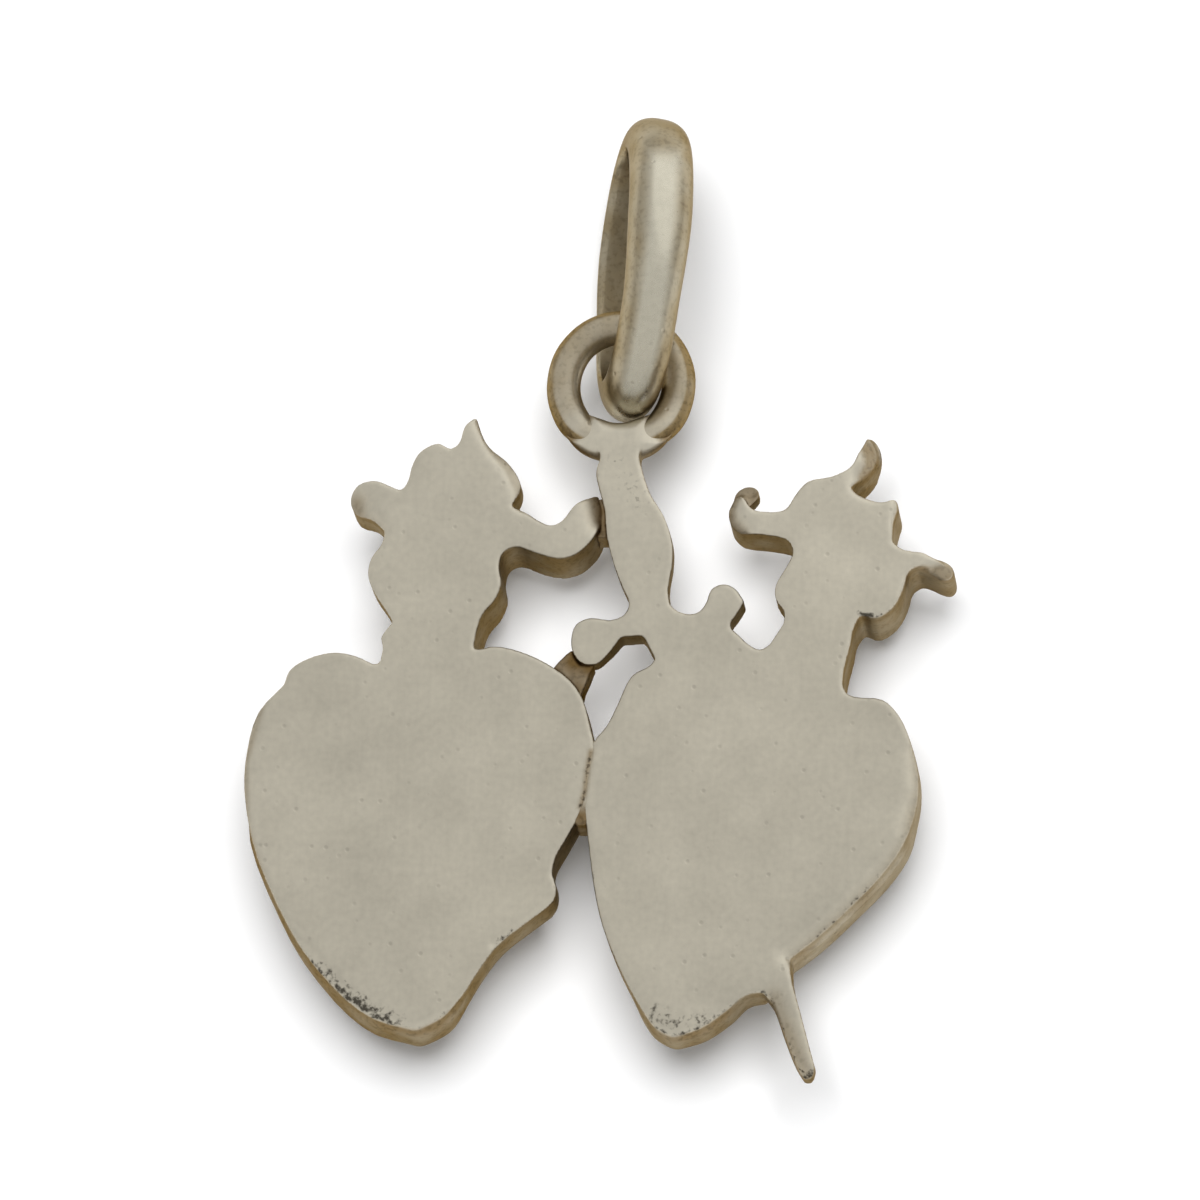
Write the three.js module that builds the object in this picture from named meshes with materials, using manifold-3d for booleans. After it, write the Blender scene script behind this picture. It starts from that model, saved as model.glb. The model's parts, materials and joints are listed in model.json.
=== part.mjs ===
// A cast silver devotional medal, lying face down. Two flaming hearts stand side by side, with flat backs
// and domed fronts: a band of thorns crosses the left one and a sword runs through the right one. The medal
// hangs from an eye ring, soldered to the end of the hilt, and from a loose oval bail.
// X runs across the medal, Y up to the bail and Z up out of the flat back.
import * as THREE from "three";
import { mergeVertices } from "three/addons/utils/BufferGeometryUtils.js";
import Module from "manifold-3d";

// Driving dimensions, in millimetres and degrees.
const castingWidth = 19.52; // from the left heart to the right flame's tip
const castingHeight = 19.11; // from the blade point to the highest flame tip
const medalThickness = 3.2; // from the highest relief of the front to the flat back
const heartWall = 1.3; // upright edge of a heart, under the flat back
const crownFullness = 2.5; // power of the dome's curve: 2 is round, more is flatter
const flameThickness = 2.15;
const hookSink = 0.35; // hooked ends of the right flame, below the flat back
const curlDepth = 1.3;
const hiltThickness = 0.95; // hilt and cross-guard
const pointThickness = 0.75; // blade point below the heart
const reliefHeight = 0.35; // thorn band and blade, above the dome of a heart
const bladeWidth = 1.3;
const bladeTip = 0.5;
const bladeRoot = 0.45; // depth of the blade inside the casting
const strandRadius = 0.26; // each of the two twisted strands of the thorn band
const strandTwist = 0.2; // from the middle of the band to the middle of a strand
const bandTurns = 4;
const eyeHole = 2.29;
const eyeWire = 0.95;
const eyeStretch = 1.05; // the eye is a little longer than wide
const eyeDepth = 0.65; // from the flat back to the middle of the eye's wire
const eyeWeb = 0.16; // solder between the end of the hilt and the eye's wire
const eyeOffset = 0.08; // the eye sits a little to the left of the hilt's end
const padAngle = 38; // how far the solder pad runs round the wire on each side
const padCover = 0.15; // how far the pad runs past the middle of the wire
const bailLength = 8.92;
const bailDepth = 5.9;
const bailWidth = 1.65;
const bailWire = 1.0;
const bailPlay = 0.12; // from the bail's lower end to the eye's lower wire
const bailShift = 0.2; // from the middle of the hole to the bail, which lies to the right
const bailRoll = 17;
const bailLean = -4.2;
const seamSink = 0.05; // solder between the hearts, below the flat back
const seamDepth = 1.2;
const tongueSink = 0.3; // solder between the flame arm and the hilt
const tongueDepth = 1.2;
const strutSink = 0.2; // bridge between the guard and the left heart
const strutDepth = 0.9;
const solderGap = 0.02; // clearance round a wire that is soldered in

const wasm = await Module();
wasm.setup();

// A closed geometry as a solid.
function solid(geometry) {
  const bare = new THREE.BufferGeometry();
  bare.setAttribute("position", geometry.getAttribute("position"));
  bare.setIndex(geometry.index);
  const merged = mergeVertices(bare, 1e-4);
  const mesh = new wasm.Mesh({
    numProp: 3,
    vertProperties: new Float32Array(merged.getAttribute("position").array),
    triVerts: new Uint32Array(merged.index.array),
  });
  return new wasm.Manifold(mesh);
}

// A solid as a named mesh.
function piece(name, body, color, roughness) {
  const made = body.getMesh();
  const geometry = new THREE.BufferGeometry();
  geometry.setAttribute("position", new THREE.BufferAttribute(made.vertProperties, 3));
  geometry.setIndex(new THREE.BufferAttribute(made.triVerts, 1));
  geometry.computeVertexNormals();
  const material = new THREE.MeshStandardMaterial({ color, roughness, metalness: 1 });
  const mesh = new THREE.Mesh(geometry, material);
  mesh.name = name;
  return mesh;
}

// Plan of the castings, as drawn on paper. An outline is a start point, then runs that each begin where the
// last one ended: a run of one point is a straight line, a longer one a smooth curve.
const paper = new THREE.Box2();
function drawn(...runs) {
  runs.flat().forEach(([x, y]) => paper.expandByPoint(new THREE.Vector2(x, y)));
  return runs;
}
const leftHeartPlan = drawn(
  [[-4.72, -12.42]],
  [[-5.85, -12], [-7.05, -11.03], [-8.3, -9.4], [-9.3, -7.5], [-9.74, -5.54], [-9.71, -4.38], [-9.44, -3.27],
    [-8.75, -2.45]],
  [[-8.6, -2.02], [-8.05, -1.67], [-7.36, -1.52], [-6.76, -1.64], [-6.28, -1.87]],
  [[-3.36, -1.43]],
  [[-2.89, -1.34], [-2.19, -1.49], [-1.48, -1.81], [-0.76, -2.33], [-0.38, -2.91], [-0.17, -3.64],
    [-0.06, -4.22], [-0.13, -4.88], [-0.27, -5.66], [-0.44, -6.3], [-0.76, -6.96],
    [-1.02, -7.48], [-1.09, -7.91]],
  [[-0.96, -8.34], [-1.03, -8.69], [-1.65, -9.23], [-2.46, -9.9], [-2.99, -10.64], [-3.51, -11.5],
    [-4.04, -12.07], [-4.72, -12.42]],
);
const leftFlamePlan = drawn(
  [[-6.06, -2.63]],
  [[-6.09, -1.84], [-6.02, -1.4], [-6.08, -1.11], [-5.98, -0.91], [-5.77, -0.64]],
  [[-5.98, -0.29], [-6.33, 0.23], [-6.52, 0.76], [-6.43, 1.26], [-6.16, 1.67], [-6.12, 2.05]],
  [[-6.47, 2.38], [-6.95, 2.58], [-7.11, 3], [-6.9, 3.38], [-6.43, 3.51], [-6, 3.35], [-5.68, 3.24],
    [-5.5, 3.49], [-5.4, 3.94], [-5.19, 4.35], [-4.69, 4.61], [-4.35, 4.45], [-4.1, 4.61],
    [-3.95, 5.12], [-3.65, 5.4]],
  [[-3.53, 5.03], [-3.29, 4.55], [-2.79, 4.14], [-2.44, 3.67], [-2.34, 3.31], [-2.58, 2.76]],
  [[-2.21, 2.61], [-1.81, 2.34], [-1.47, 2.2], [-1.16, 2.31], [-0.79, 2.81], [-0.45, 3.04], [-0.2, 3.19]],
  [[-0.06, 2.78], [-0.07, 2.28], [-0.3, 1.76], [-0.74, 1.35], [-1.21, 1.23], [-1.86, 1.4], [-2.4, 1.58],
    [-2.76, 1.41], [-2.86, 1], [-2.78, 0.5], [-2.94, 0.03], [-3.28, -0.41], [-3.43, -0.93], [-3.48, -1.31]],
  [[-3.26, -2.62]],
  [[-6.06, -2.63]],
);
const rightHeartPlan = drawn(
  [[2.37, -12.59]],
  [[1.9, -12.33], [1.47, -11.74], [0.88, -10.69], [0.35, -9.4], [0.09, -8.34], [-0.08, -7.25], [-0.2, -6.24],
    [-0.16, -5.66], [-0.05, -4.8], [0.07, -4.01]],
  [[0.31, -3.64], [0.59, -3], [0.96, -2.18], [1.45, -1.89], [1.58, -1.69]],
  [[3.93, -1.05]],
  [[4.16, -1.28], [4.5, -1.44], [4.77, -1.28]],
  [[6.8, -2.47]],
  [[6.97, -2.73], [7.36, -2.82], [7.92, -2.88], [8.37, -3.31], [8.72, -4.06], [8.96, -4.98], [8.93, -5.93],
    [8.59, -7], [7.98, -7.92], [7.17, -8.81], [6.36, -9.61], [5.53, -10.3]],
  [[4.81, -11.3]],
  [[4.35, -11.39], [3.86, -11.81], [3.13, -12.33], [2.37, -12.59]],
);
const rightFlamePlan = drawn(
  [[4.95, -2.62]],
  [[4.77, -1.28]],
  [[5.14, -0.67]],
  [[5.14, -0.32], [4.9, 0.03], [4.89, 0.44], [5.16, 0.96], [5.34, 1.4], [5.19, 1.75], [4.69, 1.9],
    [3.85, 2.02], [3.56, 2.31], [3.5, 2.72], [3.68, 3.13]],
  [[3.91, 3.01], [4.14, 2.69], [4.53, 2.59], [5.09, 2.65], [5.36, 3.07], [5.71, 3.48], [6.37, 3.63],
    [6.87, 3.92], [7.08, 4.39], [7.3, 4.73]],
  [[7.42, 4.45], [7.26, 3.8], [6.88, 3.3]],
  [[7.11, 3.1], [7.73, 2.88], [8.15, 2.98]],
  [[8.23, 2.78], [8.11, 2.28], [8.09, 1.72]],
  [[8.4, 1.49], [9.02, 1.4], [9.6, 1.17]],
  [[9.02, 1.08], [8.58, 0.87], [8.43, 0.35], [8.16, -0.2], [7.67, -0.52], [7.25, -0.41]],
  [[7.07, -0.82], [6.99, -1.31], [6.84, -1.98], [6.8, -2.47]],
  [[6.9, -3.34]],
  [[4.95, -2.62]],
);
const curlPlan = drawn(
  [[3.56, 2.95]],
  [[3.66, 3.26], [4, 3.42], [4.27, 3.34], [4.32, 3.13], [4.13, 2.88]],
  [[3.98, 3.06], [3.78, 2.9]],
  [[3.56, 2.95]],
);
const tonguePlan = drawn(
  [[8.75, 1.3]],
  [[9.15, 1.36], [9.5, 1.37], [9.78, 1.2], [9.77, 0.95], [9.52, 0.81], [9.22, 0.9], [8.9, 1]],
  [[8.75, 1.3]],
);
const hiltPlan = drawn(
  [[1.81, -2.91]],
  [[1.58, -1.69]],
  [[1.38, -1.31], [1.23, -1.02]],
  [[0.62, -1.05]],
  [[0.27, -1.55], [-0.03, -1.84], [-0.42, -1.84], [-0.71, -1.52], [-0.77, -1.11], [-0.65, -0.7],
    [-0.26, -0.51], [0.3, -0.57], [0.68, -0.41], [0.81, -0.09], [0.6, 0.41], [0.33, 1.11], [0.11, 1.99],
    [0.06, 2.58], [-0.13, 3.28], [-0.23, 3.75], [-0.13, 4.165]],
  [[0.96, 4.165]],
  [[1.09, 3.72], [1.3, 3.13], [1.69, 2.49], [1.96, 1.7], [1.98, 1.02], [1.89, 0.35], [1.98, -0.15],
    [2.35, -0.38], [2.74, -0.35], [2.96, -0.06], [3.09, 0.32], [3.42, 0.48], [3.75, 0.35], [4.02, -0.03]],
  [[3.83, -0.38], [3.64, -0.73], [3.93, -1.05]],
  [[4.1, -2.04]],
  [[1.81, -2.91]],
);
const pointPlan = drawn(
  [[5.13, -9.81]],
  [[5.53, -10.3]],
  [[5.6, -10.9], [5.84, -11.75], [6.11, -12.72], [6.32, -13.45]],
  [[6.22, -13.71], [6, -13.71]],
  [[5.77, -13.34], [5.42, -12.49], [5.1, -11.64], [4.81, -11.3]],
  [[4.52, -10.53]],
  [[5.13, -9.81]],
);

// The plan is stretched to the castings' width and height.
const stretch = new THREE.Vector2(castingWidth, castingHeight).divide(paper.getSize(new THREE.Vector2()));
const onPlan = ([x, y]) => new THREE.Vector2(x, y).multiply(stretch);

function outline(plan) {
  const [[start], ...runs] = plan;
  const points = [];
  let from = start;
  for (const run of runs) {
    const through = [from, ...run].map(onPlan).map((p) => new THREE.Vector3(p.x, p.y, 0));
    const curve = new THREE.CatmullRomCurve3(through, false, "centripetal");
    const line = run.length === 1 ? through : curve.getPoints(run.length * 3);
    points.push(...line.slice(0, -1));
    from = run[run.length - 1];
  }
  return points.map((p) => new THREE.Vector2(p.x, p.y));
}

// A plate with upright walls, between two depths below the flat back.
function plate(shape, from, to) {
  const geometry = new THREE.ExtrudeGeometry(shape, { depth: to - from, bevelEnabled: false });
  return solid(geometry.translate(0, 0, medalThickness - to));
}

// A skin over rings of points, closed by a cap at each end, or on itself where there is no cap.
function loft(rings, cap) {
  const count = rings[0].length;
  const joins = cap ? rings.length - 1 : rings.length;
  const faces = [];
  for (let i = 0; i < joins; i++) {
    const here = i * count;
    const next = ((i + 1) % rings.length) * count;
    for (let j = 0; j < count; j++) {
      const k = (j + 1) % count;
      faces.push(here + j, here + k, next + k);
      faces.push(here + j, next + k, next + j);
    }
  }
  const last = (rings.length - 1) * count;
  for (const [a, b, c] of cap ?? []) {
    faces.push(a, c, b);
    faces.push(last + a, last + b, last + c);
  }
  return solid(new THREE.BufferGeometry().setFromPoints(rings.flat()).setIndex(faces));
}

// Height of a heart's dome at a share of the way from its crown to its edge.
const wallEnd = medalThickness - heartWall;
function domeAt(share) {
  const fall = Math.max(0, 1 - share ** crownFullness) ** (1 / crownFullness);
  return wallEnd - (wallEnd - reliefHeight) * fall;
}

// Height of a heart's dome under a point of the plan, found along the ray from the crown to the edge.
function domeUnder(edge, crown, at) {
  const way = at.clone().sub(crown);
  let share = 0;
  edge.forEach((p, i) => {
    const side = edge[(i + 1) % edge.length].clone().sub(p);
    const from = p.clone().sub(crown);
    const turn = way.cross(side);
    const along = from.cross(way) / turn;
    const out = from.cross(side) / turn;
    if (along >= 0 && along < 1 && out > 0) share = Math.min(1, 1 / out);
  });
  return domeAt(share);
}

// A puffed heart: dome from the crown to the edge, then the upright wall to the flat back.
function heart(points, crown) {
  const edge = THREE.ShapeUtils.isClockWise(points) ? points.toReversed() : points;
  const ring = (share, z) => {
    const scaled = edge.map((p) => p.clone().sub(crown).multiplyScalar(share).add(crown));
    return scaled.map((p) => new THREE.Vector3(p.x, p.y, z));
  };
  const shares = [0.15, 0.32, 0.5, 0.66, 0.79, 0.89, 0.95, 0.985, 1];
  const rings = shares.map((share) => ring(share, domeAt(share)));
  rings.push(ring(1, medalThickness));
  return loft(rings, THREE.ShapeUtils.triangulateShape(edge, []));
}

// Left casting: heart, flame and the two twisted strands of the thorn band.
const leftCrown = onPlan([-5.02, -5.67]);
const leftEdge = outline(leftHeartPlan);
const bandStart = onPlan([-8.4, -2.86]);
const bandEnd = onPlan([-1.48, -8.66]);

function strand(phase) {
  const across = bandEnd.clone().sub(bandStart).normalize().rotateAround(new THREE.Vector2(), Math.PI / 2);
  const sink = strandRadius + strandTwist - reliefHeight;
  const through = [];
  for (let i = 0; i <= bandTurns * 6; i++) {
    const way = i / (bandTurns * 6);
    const turn = phase + way * bandTurns * Math.PI * 2;
    const at = bandStart.clone().lerp(bandEnd, way);
    const z = domeUnder(leftEdge, leftCrown, at) + sink + strandTwist * Math.sin(turn);
    at.addScaledVector(across, strandTwist * Math.cos(turn));
    through.push(new THREE.Vector3(at.x, at.y, z));
  }
  const section = new THREE.Shape().absarc(0, 0, strandRadius, 0, Math.PI * 2);
  const extrudePath = new THREE.CatmullRomCurve3(through);
  const tube = new THREE.ExtrudeGeometry(section, { steps: bandTurns * 12, curveSegments: 8, extrudePath });
  return solid(tube);
}

const leftCasting = heart(leftEdge, leftCrown)
  .add(plate(new THREE.Shape(outline(leftFlamePlan)), 0, flameThickness))
  .add(strand(0))
  .add(strand(Math.PI));

// Right casting: heart, flame with its hooked curl and tongue, hilt with cross-guard, blade point and the
// blade across the front.
const rightCrown = onPlan([4.17, -5.97]);
const rightEdge = outline(rightHeartPlan);
const bladeFrom = onPlan([1.95, -2.35]);
const bladeTo = onPlan([5.66, -12.24]);

function blade() {
  const across = bladeTo.clone().sub(bladeFrom).normalize().rotateAround(new THREE.Vector2(), Math.PI / 2);
  const rings = [];
  for (let i = 0; i <= 24; i++) {
    const at = bladeFrom.clone().lerp(bladeTo, i / 24);
    const half = THREE.MathUtils.lerp(bladeWidth, bladeTip, i / 24) / 2;
    const dome = domeUnder(rightEdge, rightCrown, at);
    const face = dome < wallEnd ? dome : medalThickness - pointThickness;
    const corner = (side, drop) => {
      return new THREE.Vector3(at.x + across.x * side, at.y + across.y * side, face + drop);
    };
    rings.push([
      corner(half, 0),
      corner(half, bladeRoot),
      corner(-half, bladeRoot),
      corner(-half, 0),
      corner(0, -reliefHeight),
    ]);
  }
  return loft(rings, [[0, 1, 2], [0, 2, 3], [0, 3, 4]]);
}

const rightCasting = heart(rightEdge, rightCrown)
  .add(plate(new THREE.Shape(outline(rightFlamePlan)), 0, flameThickness))
  .add(plate(new THREE.Shape(outline(curlPlan)), hookSink, curlDepth))
  .add(plate(new THREE.Shape(outline(tonguePlan)), hookSink, flameThickness))
  .add(plate(new THREE.Shape(outline(hiltPlan)), 0, hiltThickness))
  .add(plate(new THREE.Shape(outline(pointPlan)), 0, pointThickness))
  .add(blade());

// Eye ring: round wire, a little longer than wide.
const eyeRadius = (eyeHole + eyeWire) / 2;
const [hiltLeft, hiltRight] = [hiltPlan[4].at(-1), hiltPlan[5].at(-1)].map(onPlan); // corners of its end
const eyeX = (hiltLeft.x + hiltRight.x) / 2 - eyeOffset;
const eyeY = hiltLeft.y + eyeWeb + eyeStretch * (eyeHole / 2 + eyeWire);
const eyeZ = medalThickness - eyeDepth;

function eye(wireRadius) {
  const torus = new THREE.TorusGeometry(eyeRadius, wireRadius, 16, 56);
  return solid(torus.scale(1, eyeStretch, 1).translate(eyeX, eyeY, eyeZ));
}

// Solder pad that flares from the hilt's end to the eye's wire, flush with the flat back.
const padFrom = THREE.MathUtils.degToRad(270 - padAngle);
const padTo = THREE.MathUtils.degToRad(270 + padAngle);
const padRadius = eyeRadius - padCover;
const padFlare = eyeY - eyeStretch * eyeRadius;
const padShape = new THREE.Shape()
  .moveTo(hiltLeft.x, hiltLeft.y)
  .quadraticCurveTo(
    hiltLeft.x,
    padFlare,
    eyeX + padRadius * Math.cos(padFrom),
    eyeY + eyeStretch * padRadius * Math.sin(padFrom),
  )
  .absellipse(eyeX, eyeY, padRadius, eyeStretch * padRadius, padFrom, padTo)
  .quadraticCurveTo(hiltRight.x, padFlare, hiltRight.x, hiltRight.y);
const eyePad = plate(padShape, 0, hiltThickness).subtract(eye(eyeWire / 2 + solderGap));

// Solder and bridge between the castings, each cut to the shape of what it joins.
function filler(points, from, to) {
  const shape = new THREE.Shape(points.map(onPlan));
  return plate(shape, from, to).subtract(leftCasting).subtract(rightCasting);
}
const heartSeam = filler(
  [[-0.21, -4.13], [0.21, -4.13], [0.03, -6.44], [-0.63, -6.44]],
  seamSink,
  seamDepth,
);
const tongueSeam = filler(
  [[-0.26, 1.96], [0.39, 1.96], [0.21, 3.02], [-0.37, 3.02]],
  tongueSink,
  tongueDepth,
);
const guardStrut = filler(
  [[-1.33, -2.07], [-0.71, -1.4], [0.11, -1.63], [-0.18, -2.16], [-0.42, -2.54], [-0.5, -2.72],
    [-0.82, -2.72]],
  strutSink,
  strutDepth,
);

// Bail: half-round wire, flat inside, bent to an oval that stands across the eye.
function bail() {
  const section = new THREE.Path().absellipse(0, 0, bailWidth / 2, bailWire, 0, Math.PI).getPoints(10);
  section.push(new THREE.Vector2(0, 0));
  const inner = new THREE.Vector2(bailLength / 2 - bailWire, bailDepth / 2 - bailWire);
  const rings = [];
  for (let i = 0; i < 56; i++) {
    const turn = (i / 56) * Math.PI * 2;
    const cos = Math.cos(turn);
    const sin = Math.sin(turn);
    const normal = new THREE.Vector2(cos / inner.x, sin / inner.y).normalize();
    rings.push(section.map((p) => {
      return new THREE.Vector3(p.x, inner.x * cos + normal.x * p.y, inner.y * sin + normal.y * p.y);
    }));
  }
  const turned = new THREE.Euler(
    0,
    THREE.MathUtils.degToRad(bailRoll),
    THREE.MathUtils.degToRad(bailLean),
    "ZYX",
  );
  const lowerEnd = new THREE.Vector3(eyeX + bailShift, eyeY - eyeStretch * eyeHole / 2 + bailPlay, 0);
  const middle = new THREE.Vector3(0, bailLength / 2, 0).applyEuler(turned).add(lowerEnd);
  const placed = rings.map((ring) => ring.map((p) => p.applyEuler(turned).add(middle)));
  const lowest = Math.min(...placed.flat().map((p) => p.z));
  return loft(placed.map((ring) => ring.map((p) => p.setZ(p.z - lowest))));
}

const pieces = new THREE.Group();
pieces.add(
  piece("left_heart", leftCasting, 0xb1ab9d, 0.42),
  piece("right_heart", rightCasting, 0xb6b0a1, 0.42),
  piece("heart_solder", heartSeam, 0x6b5c42, 0.6),
  piece("flame_solder", tongueSeam, 0x6b5a41, 0.6),
  piece("guard_strut", guardStrut, 0x604a28, 0.55),
  piece("eye_ring", eye(eyeWire / 2), 0x978c75, 0.38),
  piece("eye_solder", eyePad, 0xb4ae9c, 0.42),
  piece("bail", bail(), 0xa59e89, 0.35),
);

// The frame's origin is under the middle of the medal, on the surface that it lies on.
const box = new THREE.Box3().setFromObject(pieces);
const middle = box.getCenter(new THREE.Vector3());
pieces.position.set(-middle.x, -middle.y, -box.min.z);

const medal = new THREE.Group();
medal.name = "religious_medal";
medal.add(pieces);
export default medal;
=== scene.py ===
# %% [markdown]
# # A silver medal of two flaming hearts
# The piece is a small cast pendant that lies face down on white paper, so its flat back is what shows.
# Two hearts with flames are soldered side by side, a sword runs through the right one, and the end of its
# hilt carries an eye ring with a loose bail. The imported model gives each piece its place and its size in
# metres. It is loaded first, and its box is kept.

import json
import math

import bmesh
import bpy
import numpy as np
from mathutils import Matrix, Vector, kdtree, noise


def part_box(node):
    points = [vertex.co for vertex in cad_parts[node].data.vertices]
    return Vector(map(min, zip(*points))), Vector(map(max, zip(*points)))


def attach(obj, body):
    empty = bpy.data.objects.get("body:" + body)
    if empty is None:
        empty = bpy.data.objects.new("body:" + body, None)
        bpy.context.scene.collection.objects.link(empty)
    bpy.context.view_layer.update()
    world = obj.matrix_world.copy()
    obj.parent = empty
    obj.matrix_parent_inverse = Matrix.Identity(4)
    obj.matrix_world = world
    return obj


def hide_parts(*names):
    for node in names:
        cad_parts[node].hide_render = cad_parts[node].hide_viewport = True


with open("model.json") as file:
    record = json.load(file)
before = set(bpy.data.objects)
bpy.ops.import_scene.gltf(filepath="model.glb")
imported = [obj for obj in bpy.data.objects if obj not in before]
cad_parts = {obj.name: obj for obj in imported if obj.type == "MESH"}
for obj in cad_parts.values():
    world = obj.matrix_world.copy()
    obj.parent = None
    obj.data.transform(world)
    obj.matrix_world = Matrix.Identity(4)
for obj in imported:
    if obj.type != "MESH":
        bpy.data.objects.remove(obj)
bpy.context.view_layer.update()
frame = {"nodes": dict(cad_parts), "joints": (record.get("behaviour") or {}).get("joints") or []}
scene = bpy.context.scene
scene.view_settings.view_transform = "Standard"
MM = 0.001
print("nodes", sorted(frame["nodes"]))

# %% [markdown]
# ## Camera
# The medal was seen from a little below its foot and a little to its right: the walls under the flames show
# below the flat back, and a thin strip of wall shows on the right. A long lens from 300 mm keeps the two
# hearts the same size. The camera's three axes are built from the two tilts, which is simpler to check than
# a track constraint. The drawing of the castings has its zero on the flat back, near the foot of the hilt.

# %% Camera
plan_zero = Vector((-0.0200, -0.3062, 3.2))
tilt, turn = math.radians(18), math.radians(6)
camera_distance = 0.3
away = Vector((math.tan(turn), -math.tan(tilt), 1)).normalized()
up = Vector((0, math.cos(tilt), math.sin(tilt)))
axes = Matrix((up.cross(away), up, away)).transposed()
lens = bpy.data.cameras.new("camera")
lens.lens = 324
lens.sensor_width = 36
camera = bpy.data.objects.new("camera", lens)
camera.matrix_world = Matrix.Translation(plan_zero * MM + away * camera_distance) @ axes.to_4x4()
scene.collection.objects.link(camera)
scene.camera = camera
print("camera at", [round(v, 4) for v in camera.matrix_world.translation])

# %% [markdown]
# ## Shader nodes in one line
# Each finish is a graph of nodes. A few small helpers keep the graphs readable: one adds a node and fills or
# links its sockets, the others do a sum, a soft step and a mix of two colours. The last one tells whether a
# ray comes straight from the camera or by way of a shiny or clear surface, which the paper and the room need.

# %% Node helpers
def add(tree, kind, values=None, **settings):
    made = tree.nodes.new(kind)
    for key, value in settings.items():
        setattr(made, key, value)
    for socket, value in (values or {}).items():
        if isinstance(value, bpy.types.NodeSocket):
            tree.links.new(value, made.inputs[socket])
        else:
            made.inputs[socket].default_value = value
    return made


def calc(tree, operation, *values):
    return add(tree, "ShaderNodeMath", dict(enumerate(values)), operation=operation).outputs[0]


def step(tree, value, low, high, to_low=0.0, to_high=1.0):
    sockets = {"Value": value, "From Min": low, "From Max": high, "To Min": to_low, "To Max": to_high}
    return add(tree, "ShaderNodeMapRange", sockets, interpolation_type="SMOOTHSTEP").outputs["Result"]


def blend(tree, share, first, second, how="MIX"):
    mix = add(tree, "ShaderNodeMix", {0: share, 6: first, 7: second}, data_type="RGBA", blend_type=how)
    return mix.outputs[2]


def seen(tree):
    ray = add(tree, "ShaderNodeLightPath").outputs
    shiny = calc(tree, "MAXIMUM", ray["Is Glossy Ray"], ray["Is Transmission Ray"])
    return calc(tree, "MAXIMUM", ray["Is Camera Ray"], shiny)


print("node helpers ready")

# %% [markdown]
# ## Paper floor
# The medal lies on white paper that keeps a soft grey shadow. A white sheet lit by lamps alone comes out a
# little grey, so the paper glows slightly towards the camera and in reflections. The glow is too weak to
# fill the shadow.

# %% Paper floor
floor_mesh = bpy.data.meshes.new("paper")
floor_mesh.from_pydata([(-3, -3, 0), (3, -3, 0), (3, 3, 0), (-3, 3, 0)], [], [(0, 1, 2, 3)])
floor = bpy.data.objects.new("paper", floor_mesh)
paper_gap = 0.02
floor.location.z = -paper_gap * MM
scene.collection.objects.link(floor)
paper = bpy.data.materials.new("white_paper")
paper.use_nodes = True
tree = paper.node_tree
sheet = tree.nodes["Principled BSDF"]
sheet.inputs["Base Color"].default_value = (0.91, 0.915, 0.925, 1)
sheet.inputs["Roughness"].default_value = 0.9
sheet.inputs["Specular IOR Level"].default_value = 0.1
sheet.inputs["Emission Color"].default_value = (1, 1, 1, 1)
paper_glow = 0.08
tree.links.new(calc(tree, "MULTIPLY", seen(tree), paper_glow), sheet.inputs["Emission Strength"])
floor_mesh.materials.append(paper)
print("floor at", floor.location.z)

# %% [markdown]
# ## Studio light
# Polished silver shows the room, so the room matters more than the lamp. The room that the metal mirrors has
# a pale ceiling, dim walls and one bright window behind the medal, which gives the bail its highlight. What
# lights the paper is mostly one large soft lamp, nearly overhead, so the shadow is short and soft. The levels
# are set so that a white sheet just comes out white.

# %% Studio light
room = bpy.data.worlds.new("room")
room.use_nodes = True
scene.world = room
tree = room.node_tree
look = add(tree, "ShaderNodeTexCoord").outputs["Generated"]
height = add(tree, "ShaderNodeSeparateXYZ", {0: look}).outputs["Z"]
window = Vector((0.42, 0.7, 0.57)).normalized()
facing = add(tree, "ShaderNodeVectorMath", {0: look, 1: window}, operation="DOT_PRODUCT").outputs["Value"]
walls_to_ceiling = step(tree, height, -0.05, 0.35, 0.5, 0.72)
window_light = step(tree, facing, 0.76, 0.88, 0.0, 0.3)
mirrored = calc(tree, "ADD", walls_to_ceiling, window_light)
room_light = 0.22
level = calc(tree, "MULTIPLY_ADD", seen(tree), calc(tree, "SUBTRACT", mirrored, room_light), room_light)
tree.links.new(level, tree.nodes["Background"].inputs["Strength"])
tree.nodes["Background"].inputs["Color"].default_value = (1, 1, 1, 1)

lamp = bpy.data.lights.new("soft_lamp", "AREA")
lamp.shape = "DISK"
lamp.size = 0.36
lamp.energy = 2.2
soft_lamp = bpy.data.objects.new("soft_lamp", lamp)
soft_lamp.location = (0.014, 0.06, 0.45)
soft_lamp.rotation_euler = Vector(soft_lamp.location).to_track_quat("Z", "Y").to_euler()
soft_lamp.visible_glossy = False
scene.collection.objects.link(soft_lamp)
print("lamp at", [round(v, 2) for v in soft_lamp.location])
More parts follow.
